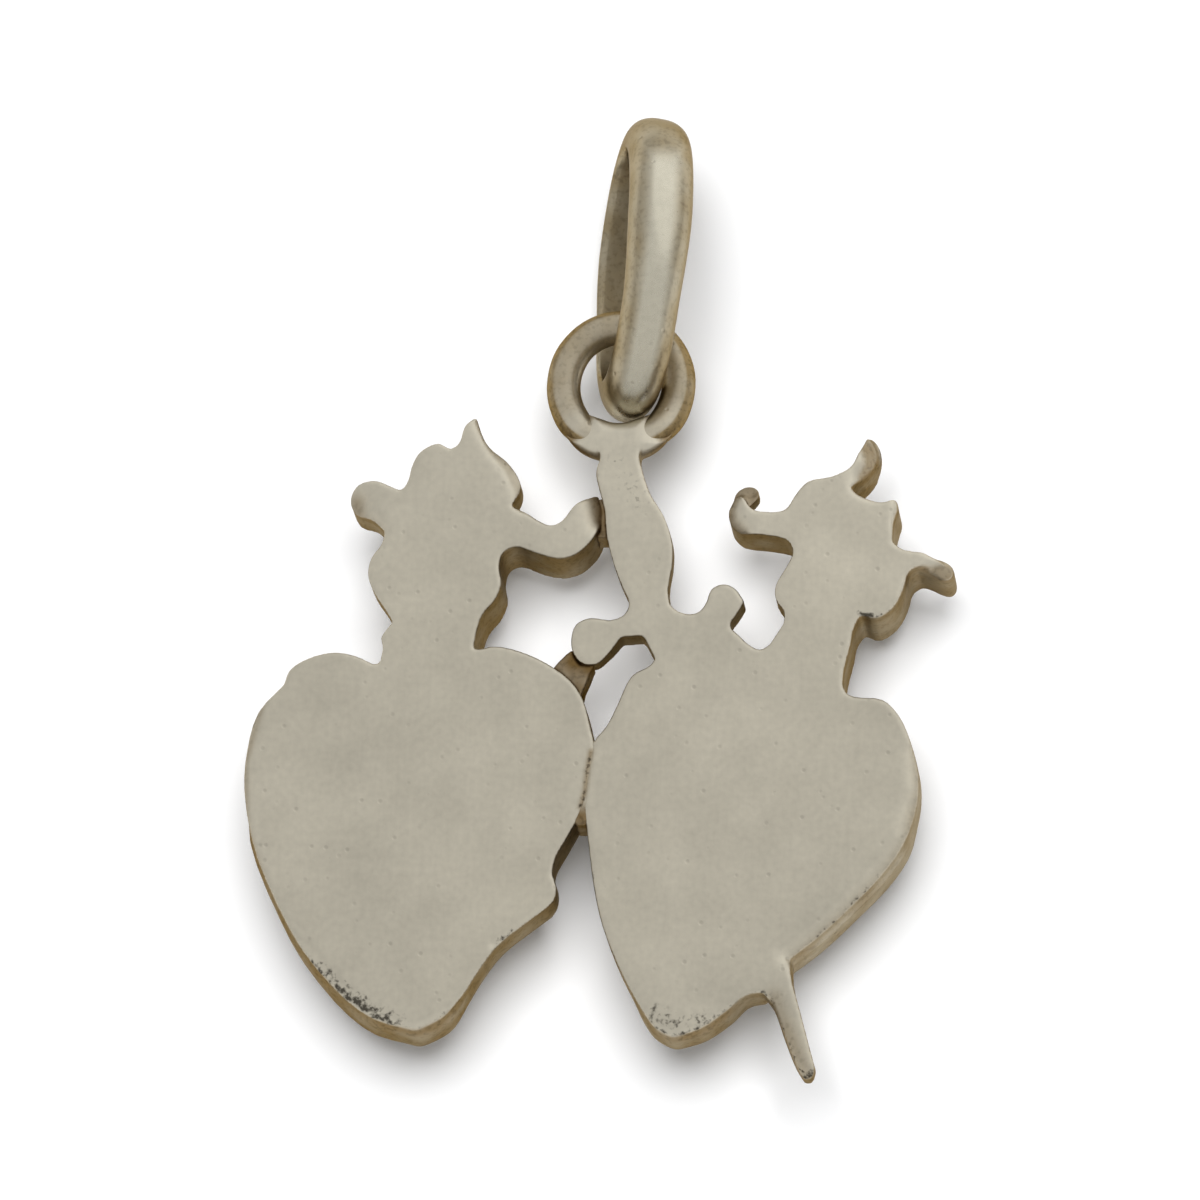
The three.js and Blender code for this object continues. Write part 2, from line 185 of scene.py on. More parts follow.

# %% [markdown]
# ## Worn silver
# Old silver isn't one colour. The rubbed faces are pale and a little warm, the walls and hollows go brown
# with tarnish, and grime gathers along the edges. Each piece carries three layers of numbers on its points:
# tarnish, which also holds painted shade on walls, worn tips and the bail's sides; grime; and polish, which
# also holds painted light, lighter towards the upper right and along the rims. The finish mixes its colours
# by them and adds a fine grain, faint file strokes, soft clouds and a few small pits, all measured in the
# piece's own metres.

# %% Worn silver
def silver(name, clean, brown, edge, roughness, pitting=0.15):
    finish = bpy.data.materials.new(name)
    finish.use_nodes = True
    tree = finish.node_tree
    shader = tree.nodes["Principled BSDF"]
    shader.inputs["Metallic"].default_value = 1
    shader.inputs["Specular Tint"].default_value = (*edge, 1)
    spot = add(tree, "ShaderNodeTexCoord").outputs["Object"]
    tarnish_and_shade, grime, polish_and_light = (
        add(tree, "ShaderNodeAttribute", attribute_name=held).outputs["Fac"]
        for held in ("tarnish_and_shade", "grime", "polish_and_light")
    )
    filed = add(tree, "ShaderNodeMapping", {"Vector": spot, "Scale": (9000, 900, 900)}).outputs["Vector"]
    stroke = add(tree, "ShaderNodeTexNoise", {"Vector": filed, "Scale": 1, "Detail": 2}).outputs["Fac"]
    cloud = add(tree, "ShaderNodeTexNoise", {"Vector": spot, "Scale": 700, "Detail": 3}).outputs["Fac"]
    grain = add(tree, "ShaderNodeTexNoise", {"Vector": spot, "Scale": 5600, "Detail": 3}).outputs["Fac"]
    speck = add(tree, "ShaderNodeTexNoise", {"Vector": spot, "Scale": 7400, "Detail": 3}).outputs["Fac"]
    pores = add(tree, "ShaderNodeTexVoronoi", {"Vector": spot, "Scale": 2200}).outputs
    chosen = step(tree, add(tree, "ShaderNodeSeparateColor", {0: pores["Color"]}).outputs[0], 0.15, 0.75)
    pit = calc(tree, "MULTIPLY", step(tree, pores["Distance"], 0.19, 0.05), chosen)

    # The tarnish layer also holds painted shade and the polish layer holds painted light, and both go
    # straight into the colour.
    stain_and_shade = calc(tree, "MULTIPLY", tarnish_and_shade, step(tree, cloud, 0.3, 0.7, 0.8, 1.15))
    spots = calc(tree, "MULTIPLY", stain_and_shade, step(tree, speck, 0.48, 0.66))
    shade = 1.0
    for mark, weight, base in (
        (cloud, 0.28, 0.86), (grain, 0.2, 0.9), (stroke, 0.06, 0.97),
        (polish_and_light, 0.24, 0.88), (pit, -pitting, 1.0), (spots, -0.28, 1.0),
    ):
        shade = calc(tree, "MULTIPLY", shade, calc(tree, "MULTIPLY_ADD", mark, weight, base))
    colour = blend(tree, stain_and_shade, (*clean, 1), (*brown, 1))
    colour = blend(tree, 1.0, colour, shade, "MULTIPLY")
    dirt = calc(tree, "MULTIPLY_ADD", calc(tree, "SUBTRACT", speck, 0.5), 2.4, grime)
    dirt = calc(tree, "MULTIPLY", step(tree, dirt, 0.25, 0.95), step(tree, grime, 0.03, 0.3))
    colour = blend(tree, calc(tree, "MULTIPLY", dirt, 0.88), colour, (0.03, 0.024, 0.016, 1))
    tree.links.new(colour, shader.inputs["Base Color"])

    matt = calc(tree, "MULTIPLY_ADD", grain, 0.14, roughness - 0.07)
    tree.links.new(calc(tree, "MULTIPLY_ADD", stain_and_shade, 0.08, matt), shader.inputs["Roughness"])
    height = calc(tree, "MULTIPLY_ADD", stroke, 0.4, grain)
    bump = add(tree, "ShaderNodeBump", {"Height": height, "Strength": 0.16, "Distance": 0.00001})
    hole = calc(tree, "MULTIPLY", pit, -1.0)
    dent = {"Height": hole, "Strength": 0.35, "Distance": 0.00003, "Normal": bump.outputs[0]}
    tree.links.new(add(tree, "ShaderNodeBump", dent).outputs["Normal"], shader.inputs["Normal"])
    return finish


print("silver ready")

# %% [markdown]
# ## Four finishes
# The castings, the ring, the bail's wire and the solder are all silver, more or less stained. Solder holds
# copper and zinc too and goes darker. The bail is handled most, so it is the smoothest, with faint pits.

# %% Four finishes
pale, warm_edge = (0.62, 0.577, 0.472), (0.5, 0.42, 0.3)
wire_pale, wire_edge = (0.62, 0.585, 0.475), (0.6, 0.52, 0.4)
cast_silver = silver("cast_silver", pale, (0.308, 0.229, 0.128), warm_edge, 0.42)
ring_silver = silver("ring_silver", pale, (0.34, 0.25, 0.125), warm_edge, 0.38)
wire_silver = silver("wire_silver", wire_pale, (0.28, 0.208, 0.105), wire_edge, 0.27, pitting=0.1)
dark_solder = silver("dark_solder", pale, (0.22, 0.14, 0.052), warm_edge, 0.42)
print("finishes", [m.name for m in (cast_silver, ring_silver, wire_silver, dark_solder)])

# %% [markdown]
# ## A skin of even points
# A casting has no sharp edge: the mould, the polishing wheel and years of wear round them all. A bevel needs
# clean edges, which a carved solid lacks, so the solid is remeshed into small even squares instead and then
# relaxed, which rounds every edge by about the same amount. The remesher can't go below a tenth of a
# millimetre in metres, so the work is done in millimetres and the points go back to metres at the end.

# %% Even skin
def even_skin(name, nodes, square, extra=()):
    lump = bmesh.new()
    for node in nodes:
        lump.from_mesh(frame["nodes"][node].data)
    lump.transform(Matrix.Scale(1 / MM, 4))
    for mesh in extra:
        lump.from_mesh(mesh)
    rough = bpy.data.meshes.new(name)
    lump.to_mesh(rough)
    lump.free()
    piece = bpy.data.objects.new(name, rough)
    scene.collection.objects.link(piece)
    even = piece.modifiers.new("even", "REMESH")
    even.mode = "VOXEL"
    even.voxel_size = square
    bpy.context.view_layer.update()
    skin = bpy.data.meshes.new_from_object(piece.evaluated_get(bpy.context.evaluated_depsgraph_get()))
    skin.materials.clear()
    piece.modifiers.clear()
    piece.data = skin
    return piece


print("remesher ready")

# %% [markdown]
# ## Points in bulk
# A skin has some hundred thousand points. Moving them one by one is slow in Python, so they are read into one
# array, moved together and written back.

# %% Points in bulk
def points(piece):
    co = np.empty(len(piece.data.vertices) * 3)
    piece.data.vertices.foreach_get("co", co)
    return co.reshape(-1, 3)


def put(piece, co):
    piece.data.vertices.foreach_set("co", co.ravel())
    piece.data.update()


def normals(piece):
    way = np.empty(len(piece.data.vertices) * 3)
    piece.data.vertex_normals.foreach_get("vector", way)
    return way.reshape(-1, 3)


print("points ready")

# %% [markdown]
# ## Relaxing
# Relaxing moves each point towards the middle of its neighbours. Done on its own it eats the tips of the
# flames, so each round takes one step in and a slightly longer step out, which smooths and keeps the size.
# Solder and worn tips are meant to shrink, so there the step out is left out.

# %% Relax
def relax(piece, rounds, where=1.0, keep=True):
    ends = np.empty(len(piece.data.edges) * 2, int)
    piece.data.edges.foreach_get("vertices", ends)
    first, second = ends.reshape(-1, 2).T
    co = points(piece)
    count = np.bincount(ends, minlength=len(co))
    for share in ((0.5, -0.53) if keep else (0.5,)) * rounds:
        for axis in range(3):
            total = np.bincount(first, co[second, axis], len(co))
            total += np.bincount(second, co[first, axis], len(co))
            co[:, axis] += share * where * (total / count - co[:, axis])
    put(piece, co)


print("relaxing ready")

# %% [markdown]
# ## Brushes
# Wear and stain are painted by a few brushes: a soft step, a cloud of noise, and a stroke along a line on the
# flat back, which fades with the distance from the line.

# %% Brushes
def ease(value, low, high):
    share = np.clip((value - low) / (high - low), 0, 1)
    return share * share * (3 - 2 * share)


def cloud_at(co, size, seed):
    return np.array([noise.noise(Vector(p) / size + Vector((seed, seed * 2.3, 7.1))) for p in co])


def near(plan, line):
    best = np.full(len(plan), np.inf)
    for a, b in zip(np.array(line), np.array(line)[1:]):
        along = np.clip((plan - a) @ (b - a) / max((b - a) @ (b - a), 1e-9), 0, 1)
        best = np.minimum(best, np.linalg.norm(plan - a - along[:, None] * (b - a), axis=1))
    return best


def stroke_at(plan, line, width):
    return np.exp(-((near(plan, line) / width) ** 2))


print("brushes ready")

# %% [markdown]
# ## Layers and dress
# Each finished piece gets its three layers of numbers, goes back to metres, takes its finish, and then rides
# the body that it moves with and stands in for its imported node.

# %% Layers and dress
def layer(piece, name, values):
    held = piece.data.attributes.new(name, "FLOAT", "POINT")
    held.data.foreach_set("value", np.clip(values, 0, 1).astype(np.float32))


def dress(piece, finish, body, slot, *nodes):
    put(piece, points(piece) * MM)
    piece.data.shade_smooth()
    piece.data.materials.append(finish)
    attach(piece, body)
    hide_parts(*nodes)
    print(piece.name, len(piece.data.polygons), "faces")


print("layers and dress ready")

# %% [markdown]
# ## Where the castings are thin
# The flat back is one plane, but the edge under it isn't one height: the flames and the hilt swell in the
# middle and run out thin at the sides. Each spot gives a place in plan and the share of the full depth that
# is left at the edge there. Shares between the spots are blended by distance.

# %% Thin edges
LEFT_EDGE = [
    (-7.0, 2.7, 0.55), (-6.3, 2.1, 0.45), (-6.5, 0.7, 0.32), (-6.0, -0.4, 0.3), (-5.5, 4.0, 0.4),
    (-3.6, 5.3, 0.4), (-2.4, 3.4, 0.4), (-1.4, 2.3, 0.7), (-1.9, 1.4, 0.95), (-0.5, 1.5, 0.85),
    (-2.8, 1.0, 0.9), (-3.3, -0.5, 0.9), (-8.3, -2.0, 0.8), (-9.7, -5.5, 0.9), (-8.3, -9.4, 1.15),
    (-6.5, -11.4, 1.3), (-4.7, -12.4, 1.1), (-2.9, -10.6, 0.7), (-1.6, -9.2, 0.7), (-1.0, -8.2, 0.65),
    (-0.7, -7.0, 0.85), (-0.2, -5.0, 1.0), (-1.5, -1.8, 0.8),
]
RIGHT_EDGE = [
    (3.6, 2.3, 0.7), (4.7, 1.9, 0.7), (5.2, 1.0, 0.5), (4.9, 0.2, 0.35), (5.1, -0.6, 0.4), (5.4, 3.1, 0.5),
    (7.3, 4.6, 0.8), (7.2, 3.7, 0.9), (8.1, 2.0, 0.9), (9.5, 1.1, 1.0), (8.5, 0.5, 1.0), (7.7, -0.5, 1.0),
    (7.0, -1.2, 0.8), (0.3, 1.2, 0.6), (1.9, 1.5, 0.6), (0.4, 3.9, 0.9), (-0.4, -1.8, 0.6), (0.9, -1.0, 0.95),
    (3.9, -0.2, 0.9), (-0.7, -1.0, 0.6), (0.0, -7.0, 0.8), (1.2, -11.2, 0.85), (2.4, -12.6, 0.8),
    (3.9, -11.8, 0.85), (6.4, -9.6, 1.0), (8.6, -7.0, 1.1), (9.0, -5.0, 1.1), (8.3, -3.2, 0.8),
    (5.7, -12.4, 0.7), (6.1, -13.7, 0.7), (0.3, -3.6, 0.8),
]


def edge_share(plan, spots):
    spots = np.array(spots)
    gap = np.linalg.norm(plan[:, None, :] - spots[None, :, :2], axis=2) + 0.05
    weight = gap ** -3.0
    return (weight * spots[:, 2]).sum(1) / weight.sum(1)


def to_wall(co, way):
    wall = co[(np.abs(way[:, 2]) < 0.4) & (co[:, 2] > 2.4)]
    tree = kdtree.KDTree(len(wall))
    for i, (x, y, _) in enumerate(wall):
        tree.insert((x, y, 0), i)
    tree.balance()
    return np.array([tree.find((x, y, 0))[2] for x, y, _ in co])


print("edges", len(LEFT_EDGE) + len(RIGHT_EDGE), "spots")

# %% [markdown]
# ## Worn edges
# The lower edges of the hearts are rubbed round and the tips of the flames slope away. Each mark is a line in
# plan millimetres with a width and a depth. Marks are listed one by one because wear follows how a thing was
# held, which no formula knows.

# %% Worn edges
LEFT_WEAR = [
    ([(-7.9, -10.1), (-7.07, -11.16), (-5.7, -12.15), (-4.64, -12.5), (-3.88, -11.95)], 0.16, 0.1),
    ([(-3.5, 5.3), (-3.06, 4.44), (-2.61, 3.91), (-2.33, 3.33), (-2.19, 2.8)], 0.2, 0.16),
    ([(-0.15, 3.15), (0.0, 2.5)], 0.38, 0.34),
    ([(-6.95, 2.9), (-6.85, 2.4), (-6.45, 2.05)], 0.3, 0.22),
    ([(-2.6, -9.95), (-1.7, -9.25), (-1.0, -8.6)], 0.12, 0.06),
]
RIGHT_WEAR = [
    ([(1.6, -12.1), (2.04, -12.52), (2.48, -12.64), (3.03, -12.47), (3.97, -11.85)], 0.14, 0.08),
    (
        [(5.6, -10.25), (6.36, -9.6), (7.17, -8.8), (8.0, -7.9), (8.65, -7.0), (9.05, -5.5), (8.95, -4.4)],
        0.26, 0.18,
    ),
    ([(5.0, -11.6), (5.4, -12.6), (5.77, -13.42), (6.1, -13.75)], 0.13, 0.2),
    ([(3.5, 2.9), (3.75, 3.35), (4.2, 3.3)], 0.16, 0.1),
    ([(3.5, 3.1), (3.42, 2.7), (3.5, 2.3), (3.8, 1.95)], 0.26, 0.28),
    ([(7.55, 4.7), (7.66, 4.3), (7.66, 3.9), (7.5, 3.6)], 0.4, 0.6),
    ([(9.75, 1.2), (9.35, 1.0)], 0.16, 0.12),
    ([(8.25, 2.9), (8.22, 2.3)], 0.14, 0.12),
]
print("worn", len(LEFT_WEAR), "left", len(RIGHT_WEAR), "right")

# %% [markdown]
# ## Flares, nudges and grooves
# The lower walls lean out a little below the back, which a flare does along a line. A nudge shifts what lies
# round a place: it closes the seam between the hearts and draws a flame's tip out. Soft spots are relaxed
# more than the rest. The grooves of the flames and of the grip lie on the front.

# %% Flares, nudges and grooves
LEFT_FLARE = [
    ([(-9.4, -7.0), (-8.3, -9.4), (-7.07, -11.1), (-5.7, -12.2), (-4.64, -12.5), (-3.9, -12.0)], 0.6, 0.09),
]
RIGHT_FLARE = [
    ([(1.4, -12.0), (2.48, -12.7), (3.97, -11.9)], 0.5, 0.08),
    ([(5.6, -10.3), (8.6, -7.0)], 0.6, 0.08),
    ([(7.45, 4.95), (7.62, 4.5)], 0.3, 0.14),
]
LEFT_NUDGE = [
    ((-0.35, -4.6), 0.6, (0.07, 0.0)), ((-0.45, -5.6), 0.6, (0.07, 0.0)),
    ((-8.0, -10.0), 1.4, (-0.09, -0.06)), ((-6.4, -11.7), 1.4, (-0.06, -0.09)),
]
RIGHT_NUDGE = [
    ((0.05, -4.5), 0.6, (-0.13, 0.0)), ((-0.05, -5.5), 0.6, (-0.13, 0.0)),
    ((7.6, 3.85), 0.5, (0.12, 0.0)), ((7.6, 4.2), 0.4, (0.16, 0.04)),
    ((7.5, 4.75), 0.45, (0.0, 0.24)), ((9.5, 0.8), 0.5, (0.1, -0.16)),
]
LEFT_SOFT = [((-4.6, -12.5), 0.9, 12)]
RIGHT_SOFT = [((2.4, -12.6), 0.7, 12), ((7.5, 4.5), 0.5, 12), ((9.55, 0.85), 0.85, 36)]
LEFT_GROOVES = [
    [(-5.0, -1.0), (-4.7, 0.6), (-5.0, 2.1), (-6.0, 2.9)],
    [(-4.4, -1.0), (-4.2, 1.2), (-4.3, 3.0), (-3.8, 4.8)],
    [(-3.9, -0.8), (-3.4, 0.9), (-2.4, 1.95), (-0.9, 1.9)],
]
RIGHT_GROOVES = [
    [(5.6, -2.0), (5.7, 0.2), (5.3, 2.1), (4.2, 2.3)],
    [(6.1, -2.0), (6.3, 0.8), (6.4, 2.6), (7.1, 4.0)],
    [(6.5, -1.6), (7.0, 0.2), (7.8, 1.0), (9.0, 1.2)],
    [(-0.2, 3.6), (1.2, 3.3)], [(0.0, 2.8), (1.6, 2.5)], [(0.1, 2.0), (1.9, 1.7)], [(0.4, 1.2), (2.0, 0.9)],
]
print("grooves", len(LEFT_GROOVES + RIGHT_GROOVES), "nudges", len(LEFT_NUDGE + RIGHT_NUDGE))

# %% [markdown]
# ## Grime and stain
# Dark grime sits along the rubbed edges and in the seam, and some walls were rubbed bright again. Brown is
# painted on the sloping tips of the flames and on some rounded edges, partly as stain and partly as painted
# shade. These lines have a width and a strength, and they paint the layers of numbers that the finish reads.

# %% Grime, stain and shade
SEAM_LINE = [(-0.12, -4.4), (-0.2, -4.97), (-0.25, -5.55), (-0.35, -6.0)]
LEFT_GRIME = [
    (
        [(-7.78, -10.31), (-7.23, -11.01), (-6.6, -11.45), (-5.91, -11.95), (-5.29, -12.3), (-4.75, -12.5)],
        0.08, 0.85,
    ),
    ([(-6.9, -11.2), (-6.3, -11.65), (-5.6, -12.1)], 0.13, 0.9),
    ([(-7.4, -10.6), (-6.6, -11.3), (-5.9, -11.75), (-5.1, -12.15)], 0.22, 0.38),
    ([(-4.64, -12.42), (-4.26, -12.25), (-3.88, -11.93)], 0.1, 0.5),
    ([(-2.54, -9.87), (-2.14, -9.58)], 0.08, 0.7),
    ([(-9.52, -3.39), (-9.57, -3.68)], 0.08, 0.7),
    (SEAM_LINE, 0.06, 0.42),
]
RIGHT_GRIME = [
    (
        [(1.72, -12.11), (2.04, -12.45), (2.48, -12.56), (3.03, -12.39), (3.46, -12.13), (3.97, -11.76)],
        0.1, 0.75,
    ),
    ([(1.9, -11.9), (2.5, -12.3), (3.2, -12.1)], 0.3, 0.36),
    ([(4.43, -11.41), (4.84, -11.33), (5.04, -11.55)], 0.09, 0.75),
    ([(5.04, -11.55), (5.42, -12.49), (5.77, -13.34), (6.05, -13.68)], 0.09, 0.75),
    ([(6.0, -13.57), (6.24, -13.62)], 0.1, 0.8),
    ([(7.25, -0.38), (7.58, -0.48), (7.95, -0.42)], 0.08, 0.8),
    ([(0.3, 4.0), (0.75, 3.4), (1.05, 2.9)], 0.45, 0.2),
    ([(0.02, -7.94), (0.06, -8.11)], 0.07, 0.8),
    ([(5.75, -10.2), (6.4, -9.6), (7.2, -8.8), (8.0, -7.9)], 0.08, 0.42),
]
LEFT_RUBBED = [([(-9.6, -6.5), (-7.6, -10.4), (-5.7, -12.2), (-4.64, -12.5), (-3.7, -11.9)], 0.8, 0.05)]
RIGHT_RUBBED = [
    ([(1.6, -12.1), (2.48, -12.7), (3.97, -11.9)], 0.7, 0.15),
    ([(5.6, -10.3), (7.2, -8.9), (8.6, -7.0), (9.0, -5.0)], 0.7, 0.45),
    ([(8.2, 2.8), (8.2, 2.2), (9.6, 1.0), (8.7, 0.4), (7.9, -0.5)], 0.5, 0.16),
]
# Painted shade: these strokes brown the sloping tips and rounded edges, partly as real stain and partly to
# darken them as shade.
LEFT_STAINED_AND_SHADED = [
    ([(-9.3, -2.9), (-9.75, -4.8), (-9.65, -6.6), (-9.1, -8.2)], 0.1, 0.45),
    ([(-0.2, 3.1), (-0.05, 2.55)], 0.34, 0.55),
    ([(-6.95, 2.9), (-6.85, 2.4), (-6.45, 2.05)], 0.24, 0.65),
    ([(-3.5, 5.3), (-3.06, 4.44), (-2.61, 3.91), (-2.33, 3.33), (-2.19, 2.8)], 0.16, 0.3),
]
RIGHT_STAINED_AND_SHADED = [
    ([(3.5, 3.1), (3.42, 2.7), (3.5, 2.3), (3.8, 1.95)], 0.24, 0.75),
    ([(5.15, -11.5), (5.6, -12.6), (6.08, -13.8)], 0.28, 0.5),
    ([(7.42, 4.6), (7.5, 4.2), (7.46, 3.75)], 0.22, 0.85),
    ([(5.8, -10.3), (7.2, -8.95), (8.1, -8.0), (8.75, -7.0), (9.1, -5.5), (9.0, -4.4)], 0.22, 0.52),
]
print("dirty", len(LEFT_GRIME + RIGHT_GRIME), "stained_and_shaded", len(LEFT_STAINED_AND_SHADED + RIGHT_STAINED_AND_SHADED))

# %% [markdown]
# ## The eye's foot
# The eye ring was laid against the end of the hilt and flooded with solder, so its two arms run into the
# hilt's back without a step. The middle line of the wire is worked out here, because both the ring and the
# solder over its foot follow it. The solder is a short fat tube, flattened at the level of the back, which
# the right casting's skin will take in. A cap, low at the arms and level with the back at the hilt, keeps
# that skin under the wire until the two meet. Away from the ring the cap is lifted out of reach.

# %% The eye's foot
def sweep(name, rings, closed=True):
    count, around = rings.shape[:2]
    index = np.arange(count * around).reshape(count, around)
    across = np.roll(index, -1, 0)
    faces = np.stack([index, np.roll(index, -1, 1), np.roll(across, -1, 1), across], -1)
    faces = (faces if closed else faces[:-1]).reshape(-1, 4).tolist()
    if not closed:
        faces += [index[0, ::-1].tolist(), index[-1].tolist()]
    mesh = bpy.data.meshes.new(name)
    mesh.from_pydata(rings.reshape(-1, 3).tolist(), [], faces)
    return mesh


low, high = (np.array(corner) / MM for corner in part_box("eye_ring"))
eye_middle = (low + high) / 2
eye_wire = (high - low)[2] / 2
eye_reach = (high - low)[:2] / 2 - eye_wire
round_wire = np.linspace(0, 2 * np.pi, 48, endpoint=False)[None, :]
filed_at, filed_left = 0.36, 0.6
foot_out, foot_rise = 0.06, 0.19


def eye_rings(turns, thick):
    foot = ease(-np.sin(turns), 0.3, 0.95)
    out = thick * np.cos(round_wire) + foot_out * foot
    rise = thick * np.sin(round_wire)
    rise = np.where(rise > filed_at, filed_at + filed_left * (rise - filed_at), rise) + foot_rise * foot
    return np.stack([
        eye_middle[0] + (eye_reach[0] + out) * np.cos(turns),
        eye_middle[1] + (eye_reach[1] + out) * np.sin(turns),
        eye_middle[2] + rise,
    ], -1)


turns = np.radians(np.linspace(-145, -35, 60))[:, None]
rings = eye_rings(turns, 0.4 + 0.17 * ease(-np.sin(turns), 0.6, 0.95))
rings[..., 2] = np.minimum(rings[..., 2], plan_zero.z)
eye_foot = sweep("eye_foot", rings, closed=False)


def eye_cap(co):
    off = co[:, :2] - eye_middle[:2]
    away = np.linalg.norm(off, axis=1)
    foot = ease(-off[:, 1] / away, 0.72, 0.97)
    low = eye_middle[2] + 0.3
    out_of_reach = 9
    return low + (plan_zero.z - low) * foot + out_of_reach * ease(away, 2.2, 2.7)


print("eye middle", eye_middle.round(3), "wire", round(eye_wire * 2, 3))

# %% [markdown]
# ## Shape of a casting
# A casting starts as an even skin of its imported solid. Points are moved, not only shaded: the nudges come
# first, then the edges thin out, the walls flare, the grooves are pressed into the front, and the back takes
# its wear and its faint waves. Last, the soft spots are relaxed. All lengths are in millimetres.

# %% Shape of a casting
casting_square = 0.067
swell_reach = 0.9
groove_depth, groove_width = 0.28, 0.16
wave_height, wave_size = 0.012, 2.6


def casting(name, nodes, spots, grooves, wear, flares, nudges, soft, seed, extra=(), cap=None):
    piece = even_skin(name, nodes, casting_square, extra)
    relax(piece, 4)
    co, way = points(piece), normals(piece)
    plan = co[:, :2] - np.array(plan_zero[:2])
    for middle, reach, shift in nudges:
        co[:, :2] += np.array(shift) * np.exp(-(((plan - middle) ** 2).sum(1) / reach ** 2))[:, None]
    plan = co[:, :2] - np.array(plan_zero[:2])
    share = edge_share(plan, spots)
    share += (1 - share) * np.sqrt(1 - (1 - np.clip(to_wall(co, way) / swell_reach, 0, 1)) ** 2)
    deep = plan_zero.z - co[:, 2]
    co[:, 2] = plan_zero.z - np.where(deep > 0, deep * share, deep)
    if cap:
        co[:, 2] = np.minimum(co[:, 2], cap(co))
    for line, width, amount in flares:
        spread = amount * stroke_at(plan, line, width) * ease(deep, 0.05, 0.6) * ease(deep, 2.6, 1.4)
        co[:, :2] += way[:, :2] * spread[:, None]
    for line in grooves:
        pressed = groove_depth * stroke_at(plan, line, groove_width)
        co[:, 2] += pressed * ease(way[:, 2], -0.3, -0.9) * ease(deep, 0.5, 0.9)
    upper = ease(co[:, 2], 2.2, 2.95)
    for line, width, depth in wear:
        co[:, 2] -= depth * stroke_at(plan, line, width) * upper
    co[:, 2] += wave_height * cloud_at(co, wave_size, seed)
    put(piece, co)
    for middle, reach, rounds in soft:
        relax(piece, rounds, ease(np.linalg.norm(plan - middle, axis=1), reach, reach * 0.5), keep=False)
    return piece


print("casting shape ready")

# %% [markdown]
# ## Stain and painted shade of a casting
# Walls and sunken spots go brown, partly as tarnish and partly as painted shade, most of all in a band just
# under the edge of the back and low on the walls, and less on the front, which is rubbed in wear. The lists
# of marks then add grime, stain and painted shade or take them away.

# %% Stain and shade of a casting
def stain_and_shade(piece, grime, rubbed, stained_and_shaded, seed):
    co, way = points(piece), normals(piece)
    plan = co[:, :2] - np.array(plan_zero[:2])
    deep = plan_zero.z - co[:, 2]
    # Painted shade: the walls' brown is partly tarnish and partly painted shade, darkest in a band just under
    # the edge and low on the walls. Worn slopes that sink below the back go brown the same way, and the walls
    # lose most of their polish.
    wall = ease(way[:, 2], 0.72, 0.3)
    sunk = 0.8 * ease(deep, 0.12, 0.3) * ease(way[:, 2], 0.3, 0.7)
    # Rims: the rounded edges of the back are lightened through the polish layer, partly as wear and partly as
    # a painted highlight.
    rim_wear_and_sheen = ease(way[:, 2], 0.985, 0.9) * ease(way[:, 2], 0.35, 0.7)
    front = ease(way[:, 2], -0.1, -0.7)
    shade_band_under_edge = np.exp(-(((deep - 0.3) / 0.2) ** 2))
    amount = 0.9 + 0.2 * shade_band_under_edge + 0.15 * ease(deep, 1.0, 2.0) + 0.25 * cloud_at(co, 0.6, seed)
    for line, width, rub in rubbed:
        amount -= rub * stroke_at(plan, line, width)
    brown = np.maximum(wall * (1 - 0.55 * front), sunk) * amount
    for line, width, strength in stained_and_shaded:
        brown = np.maximum(brown, strength * stroke_at(plan, line, width) * ease(way[:, 2], 0.2, 0.6))
    seam = stroke_at(plan, SEAM_LINE, 0.45) * ease(deep, 0.6, 0.3)
    crack = 0.75 * stroke_at(plan, SEAM_LINE, 0.08)
    layer(piece, "tarnish_and_shade", np.maximum(brown * (1 - seam), crack))
    dirt = np.zeros(len(co))
    for line, width, strength in grime:
        dirt = np.maximum(dirt, strength * stroke_at(plan, line, width) * ease(way[:, 2], 0.3, 0.75))
    layer(piece, "grime", dirt)
    # Painted light: the polish is raised towards the upper right of the back, so that side comes out lighter.
    # The cloud adds random tone.
    polish_and_light = 0.36 + 0.3 * ease(plan[:, 0] * 0.5 + plan[:, 1], 0, 5) + 0.25 * cloud_at(co, 4.0, seed + 8)
    layer(piece, "polish_and_light", polish_and_light * (1 - 0.8 * wall) + 0.35 * rim_wear_and_sheen * (1 - seam))


print("casting stain ready")

# %% [markdown]
# ## The two castings
# Both castings go through the same steps with their own marks. The right casting's skin takes in the solder
# pad at the end of the hilt, because on the real piece the two were filed flush and no seam shows.

# %% Two castings
left_marks = LEFT_EDGE, LEFT_GROOVES, LEFT_WEAR, LEFT_FLARE, LEFT_NUDGE, LEFT_SOFT
left_casting = casting("left_casting", ["left_heart"], *left_marks, 1.0)
stain_and_shade(left_casting, LEFT_GRIME, LEFT_RUBBED, LEFT_STAINED_AND_SHADED, 6.0)
dress(left_casting, cast_silver, "medal", "cast_silver", "left_heart")
right_marks = RIGHT_EDGE, RIGHT_GROOVES, RIGHT_WEAR, RIGHT_FLARE, RIGHT_NUDGE, RIGHT_SOFT
right_nodes = ["right_heart", "eye_solder"]
right_casting = casting("right_casting", right_nodes, *right_marks, 2.0, [eye_foot], eye_cap)
stain_and_shade(right_casting, RIGHT_GRIME, RIGHT_RUBBED, RIGHT_STAINED_AND_SHADED, 7.0)
dress(right_casting, cast_silver, "medal", "cast_silver", "right_heart", "eye_solder")

# %% [markdown]
# ## Solder
# Solder fills the seam between the hearts and the slit beside the hilt, and a lump of it bridges the guard
# and the left heart. Solder flows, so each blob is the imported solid, swollen a little into its neighbours,
# with its edges drawn round and some noise on its surface.

# %% Solder
solder_square = 0.03


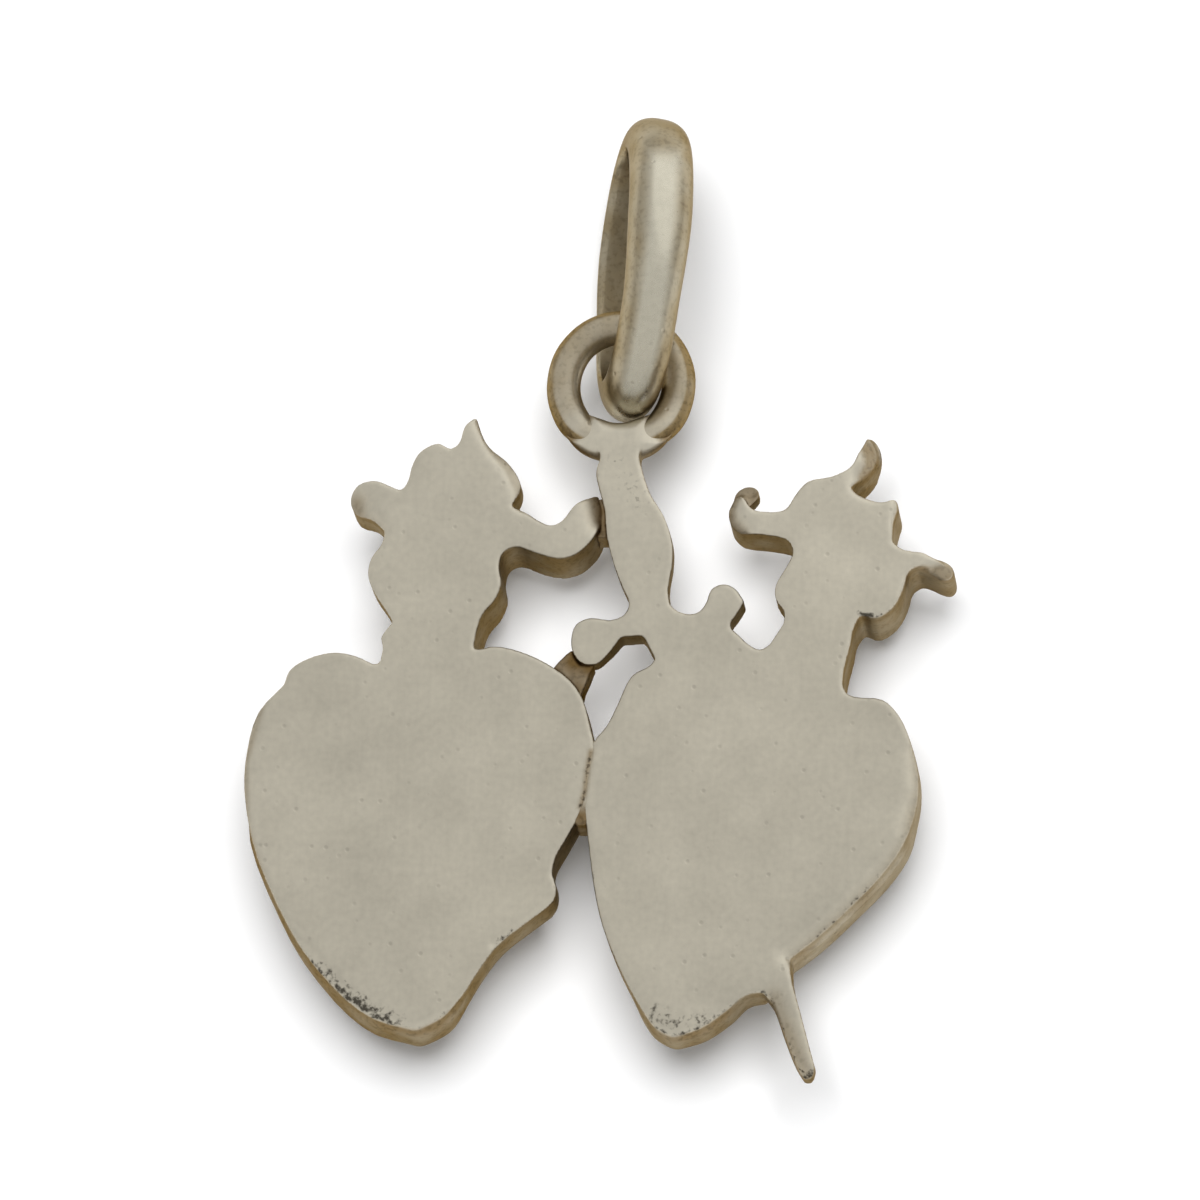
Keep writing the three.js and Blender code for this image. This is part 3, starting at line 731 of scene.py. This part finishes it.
def blob(node, swell, lumps, waist, stain_low, stain_high, level=None, pull=None):
    piece = even_skin(node + "_blob", [node], solder_square)
    relax(piece, 3, keep=False)
    co, way = points(piece), normals(piece)
    co += way * (swell + lumps * cloud_at(co, 0.3, 4.0))[:, None]
    plan = co[:, :2] - co[:, :2].mean(0)
    along, across = np.linalg.svd(plan, full_matrices=False)[2]
    narrow = waist * (1 - (plan @ along / np.abs(plan @ along).max()) ** 2)
    co[:, :2] -= np.outer(narrow * (plan @ across), across)
    co[:, 2] -= 0.4 * narrow * ease(way[:, 2], 0.0, 0.5)
    if level is not None:
        co[:, 2] += (plan_zero.z + level - np.percentile(co[:, 2], 95)) * ease(way[:, 2], 0.0, 0.5)
    plan = co[:, :2] - np.array(plan_zero[:2])
    if pull:
        middle, reach, shift = pull
        co[:, :2] += np.array(shift) * np.exp(-(((plan - middle) ** 2).sum(1) / reach ** 2))[:, None]
    put(piece, co)
    rise = ease((co[:, 1] - co[:, 1].min()) / np.ptp(co[:, 1]), 0.05, 0.35)
    crack = stroke_at(plan, SEAM_LINE, 0.06)
    brown = stain_low + (stain_high - stain_low) * rise + 0.25 * cloud_at(co, 0.4, 6.0)
    layer(piece, "tarnish_and_shade", np.maximum(brown, 0.75 * crack))
    layer(piece, "grime", 0.42 * crack)
    layer(piece, "polish_and_light", np.full(len(co), 0.4))
    dress(piece, dark_solder, "medal", "dark_solder", node)


blob("heart_solder", 0.06, 0.0, 0.0, 0.9, 0.1, level=-0.06)
blob("flame_solder", 0.05, 0.03, 0.1, 0.95, 0.95)
blob("guard_strut", 0.06, 0.04, 0.12, 1.0, 0.9, pull=((-0.1, -2.0), 0.5, (-0.15, 0.05)))

# %% [markdown]
# ## Eye ring
# The eye is a closed ring of round wire, filed a little flat at the back. It is swept as rings of points
# round an oval, because a sweep is smoother than a remesh and the wire shows a clean highlight.

# %% Eye ring
def place(mesh):
    piece = bpy.data.objects.new(mesh.name, mesh)
    scene.collection.objects.link(piece)
    return piece


turns = np.linspace(0, 2 * np.pi, 200, endpoint=False)[:, None]
rings = eye_rings(turns, eye_wire - 0.05 * ease(-np.sin(turns), 0.6, 0.9))
eye = place(sweep("eye_ring_wire", rings))
co, way = points(eye), normals(eye)
co += way * (0.02 * cloud_at(co, 0.9, 11.0))[:, None]
put(eye, co)
inward = -(way[:, :2] * (co - eye_middle)[:, :2]).sum(1) / eye_reach[0]
arms = 1 - 0.7 * ease(eye_middle[1] - co[:, 1], 0.2, 1.4)
# The lower outer walls, most on the right, go brown: partly tarnish, partly painted shade.
lower_walls_stain_and_shade = (0.5 + 0.4 * ease(way[:, 0], 0.2, 0.7)) * ease(way[:, 2], 0.5, 0.1)
brown = 0.85 * ease(inward, 0.3, 0.7) + arms * lower_walls_stain_and_shade
layer(eye, "tarnish_and_shade", brown + 0.15 * cloud_at(co, 0.6, 12.0))
layer(eye, "grime", 0.12 * ease(inward, 0.5, 0.95))
layer(eye, "polish_and_light", 0.5 + 0.3 * cloud_at(co, 1.5, 13.0))
dress(eye, ring_silver, "medal", "silver_wire", "eye_ring")

# %% [markdown]
# ## Bail
# The bail is half-round wire, flat inside, bent to an oval and closed. The joint's axis gives the plane it
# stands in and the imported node's box its middle. The section is drawn with softened corners and carried
# round the oval, always square to it. Where it passes the eye it is rounder and narrower, so that it swings
# clear of the ring.

# %% Bail section and path
swing = next(j for j in frame["joints"] if j["name"] == "bail_swing")
bail_across = np.array(swing["axis"])
bail_lean = math.radians(3.4)
bail_along = np.array([math.sin(bail_lean), math.cos(bail_lean), 0.0])
bail_through = np.cross(bail_across, bail_along)
low, high = (np.array(corner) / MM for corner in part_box("bail"))
bail_middle = (low + high) / 2
bail_half, bail_wire = np.array([4.38, 2.95]), 1.0

arch = np.pi * (np.arange(44) + 0.5) / 44
inside = np.linspace(-1, 1, 18)[1:-1]
turns = np.linspace(0, 2 * np.pi, 240, endpoint=False)
in_eye = ease(-np.cos(turns), -0.3, 0.5)[:, None]
power = 0.78 + 0.22 * in_eye
half_width = 0.9 - 0.1 * in_eye
section_x = half_width * np.sign(np.cos(arch)) * np.abs(np.cos(arch)) ** power
section_y = bail_wire * np.sin(arch) ** power
section_x = np.concatenate([section_x, half_width * inside], 1)
section_y = np.concatenate([section_y, np.tile(0.03 - 0.05 * (1 - inside ** 2), (len(turns), 1))], 1)
inner = bail_half - bail_wire
path = np.stack([inner[0] * np.cos(turns), inner[1] * np.sin(turns)], -1)
square_to = np.stack([np.cos(turns) / inner[0], np.sin(turns) / inner[1]], -1)
square_to /= np.linalg.norm(square_to, axis=1)[:, None]
print("bail middle", bail_middle.round(3), "section", section_x.shape[1], "points")

# %% [markdown]
# The bail's low end is worn to a fuller curve where it rubs on the eye. Its flat inside is tarnished. Its
# sides, its round top and, faintly, its low end are browned as painted shade, which leaves a painted
# highlight band along the middle.

# %% Bail sweep
tip_height = 0.08
tip = tip_height * ease(-np.cos(turns), 0.88, 1.0)[:, None] * section_y / bail_wire
flat = path[:, None, :] + square_to[:, None, :] * (section_y + tip)[..., None]
rings = section_x[..., None] * bail_across + flat[..., :1] * bail_along + flat[..., 1:] * bail_through
bail = place(sweep("bail_loop", bail_middle + rings))
co, way = points(bail), normals(bail)
co += way * (0.01 * cloud_at(co, 1.4, 21.0))[:, None]
put(bail, co)
sideways = (section_x / half_width).ravel()
hollow = (section_y < 0.05).ravel()
painted_top_shade = np.repeat(ease(np.cos(turns), 0.55, 0.8), section_x.shape[1])
painted_low_end_shade = np.repeat(ease(-np.cos(turns), -0.1, 0.8), section_x.shape[1])
patch = cloud_at(co, 0.7, 22.0)
# Painted shade: the sides, the round top and the low end are browned, leaving a painted highlight band along
# the middle.
painted_flank_shade = np.maximum(ease(sideways, -0.35, -0.8), ease(sideways, 0.1, 0.6))
stained_and_shaded = np.where(hollow, 1.0, np.maximum.reduce([painted_flank_shade, 1.1 * painted_top_shade, 0.12 * painted_low_end_shade]))
layer(bail, "tarnish_and_shade", stained_and_shaded * (0.68 + 0.22 * patch))
layer(bail, "grime", 0.1 * ease(patch, 0.2, 0.5) * np.maximum(painted_flank_shade, hollow))
layer(bail, "polish_and_light", 0.55 + 0.3 * cloud_at(co, 2.0, 23.0))
dress(bail, wire_silver, "bail", "silver_wire", "bail")
